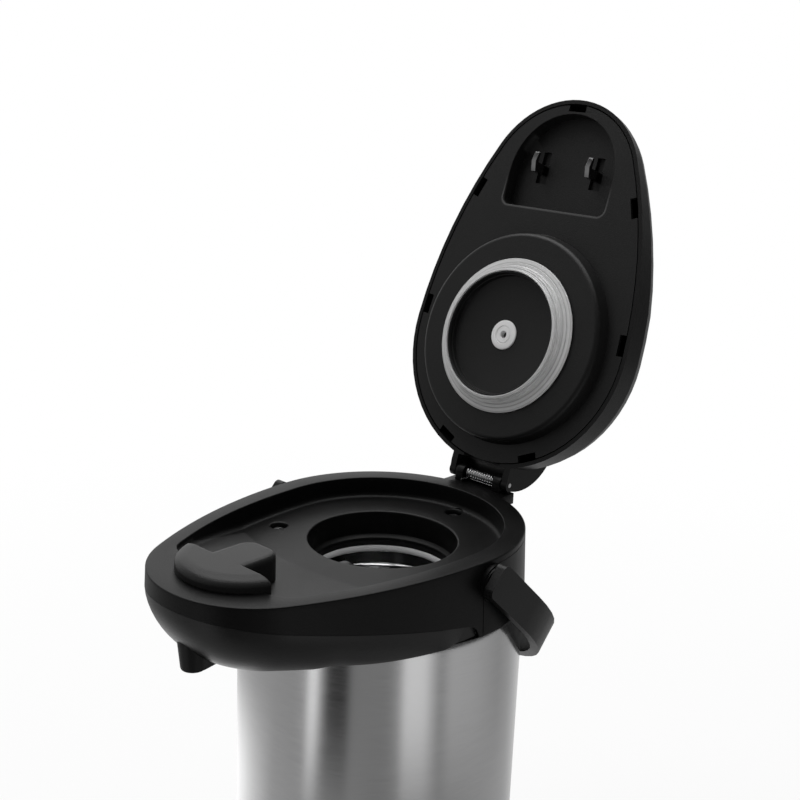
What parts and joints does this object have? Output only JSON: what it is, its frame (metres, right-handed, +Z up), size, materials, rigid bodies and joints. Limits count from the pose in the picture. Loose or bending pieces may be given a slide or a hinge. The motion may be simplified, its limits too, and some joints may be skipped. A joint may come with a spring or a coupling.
{
  "type": "pump vacuum flask",
  "caption": "Pump vacuum flask with a steel body, an egg-shaped black head with spout and tray, a rear-hinged lid standing open with latch and pump, and a swing handle.",
  "frame": {"origin": "centre of the foot ring's underside, on the body's axis", "axes": "+Z up along the body's axis, -Y towards the spout, +X towards the right-hand handle pivot as seen from behind the lid"},
  "size_m": [0.1802, 0.3249, 0.5293],
  "materials": {
    "black_plastic": "satin, fine texture",
    "button_plastic": "satin",
    "disc_plastic": "smooth",
    "grey_plastic": "smooth",
    "clear_plastic": "smooth, milky",
    "brushed_steel": "brushed round the body",
    "bright_steel": "bright",
    "silicone": "clear, whitish",
    "valve_rubber": "matte",
    "bellows_rubber": "matte",
    "foot_rubber": "matte"
  },
  "bodies": {
    "flask": {"foot_ring": "foot_rubber", "base_cup": "black_plastic", "shell_bottom": "brushed_steel", "outer_shell": "brushed_steel", "shell_shoulder": "brushed_steel", "liner_bottom": "bright_steel", "liner_tube": "bright_steel", "liner_neck": "bright_steel", "clamp_ring": "black_plastic", "neck_gasket": "silicone", "head_housing": "black_plastic", "rear_collar": "black_plastic", "front_bowl": "black_plastic", "spout_nozzle": "black_plastic", "outlet_duct": "grey_plastic", "dip_tube": "clear_plastic", "deck_screws": "bright_steel", "latch_keeper": "black_plastic", "hinge_spring": "bright_steel", "handle_pins": "black_plastic"},
    "lid": {"lid_shell": "black_plastic", "lid_plate": "black_plastic", "hinge_pin": "bright_steel", "seal_ring": "silicone", "bellows_base": "disc_plastic", "air_valve": "valve_rubber", "pump_bellows": "bellows_rubber", "pump_spring": "bright_steel", "latch_spring": "bright_steel"},
    "button": {"pump_button": "button_plastic"},
    "latch": {"latch_slide": "button_plastic", "latch_hooks": "bright_steel"},
    "handle": {"carry_handle": "black_plastic"}
  },
  "joints": [
    {"name": "lid_hinge", "type": "hinge", "parent": "flask", "child": "lid", "pos_m": [0, 0.0868, 0.3047], "axis": [1, 0, 0], "range_deg": [0, 109.5], "stiffness_Nm_per_rad": 0.1, "springref_deg": -17.19, "deforming": ["hinge_spring"]},
    {"name": "handle_swing", "type": "hinge", "parent": "flask", "child": "handle", "pos_m": [0, 0, 0.287], "axis": [1, 0, 0], "range_deg": [0, 44]},
    {"name": "pump_press", "type": "slide", "parent": "lid", "child": "button", "axis": [0, -0.9426, 0.3338], "range_m": [0, 0.022], "stiffness_N_per_m": 300, "springref_m": -0.01, "deforming": ["pump_bellows", "pump_spring"]},
    {"name": "latch_retract", "type": "slide", "parent": "lid", "child": "latch", "axis": [0, -0.3338, -0.9426], "range_m": [0, 0.004], "stiffness_N_per_m": 400, "springref_m": -0.004, "deforming": ["latch_spring"]}
  ]
}
